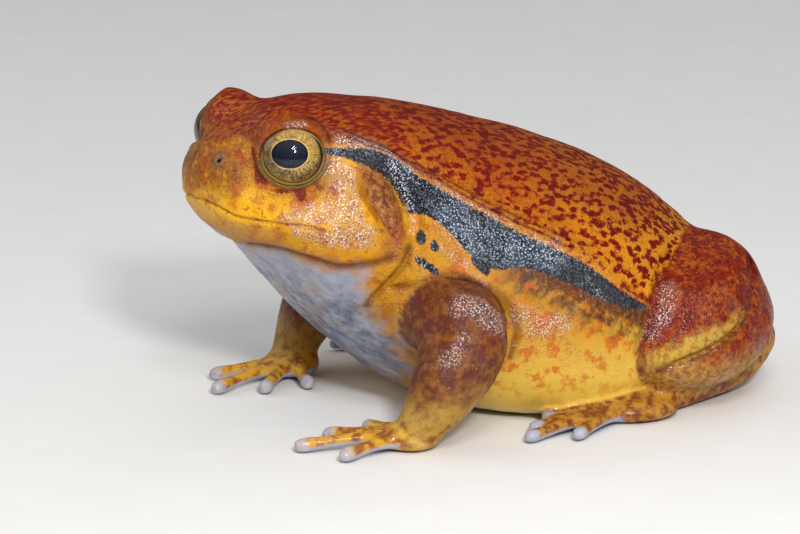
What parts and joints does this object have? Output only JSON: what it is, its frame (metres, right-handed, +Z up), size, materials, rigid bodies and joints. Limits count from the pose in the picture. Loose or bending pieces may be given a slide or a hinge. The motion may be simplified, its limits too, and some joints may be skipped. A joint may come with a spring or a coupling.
{
  "type": "tomato frog",
  "caption": "Life-size still model of a plump tomato frog sitting on its belly with its head raised and its fingers and toes spread on the floor.",
  "frame": {"origin": "centre of the whole frog's box in X and Y, at the level of the floor that its belly, hands and feet rest on", "axes": "-Y is the way that the frog faces, +X its left side, +Z up"},
  "size_m": [0.064, 0.0858, 0.0462],
  "materials": {
    "head_skin": "moist skin, orange with red mottling",
    "back_skin": "moist skin, orange-red mottled back over a yellow belly",
    "arm_skin": "moist skin, tan netted with purple-brown",
    "hand_skin": "moist skin, yellow-orange with pale fingertips",
    "leg_skin": "moist skin, deep red mottled with orange",
    "foot_skin": "moist skin, yellow-brown",
    "eye": "glossy, gold iris round a blue-black pupil"
  },
  "bodies": {
    "root": {"head": "head_skin", "torso": "back_skin", "eye_left": "eye", "eye_right": "eye", "upper_arm_left": "arm_skin", "forearm_left": "arm_skin", "hand_left": "hand_skin", "thigh_left": "leg_skin", "shank_left": "leg_skin", "foot_left": "foot_skin", "upper_arm_right": "arm_skin", "forearm_right": "arm_skin", "hand_right": "hand_skin", "thigh_right": "leg_skin", "shank_right": "leg_skin", "foot_right": "foot_skin"}
  },
  "joints": []
}
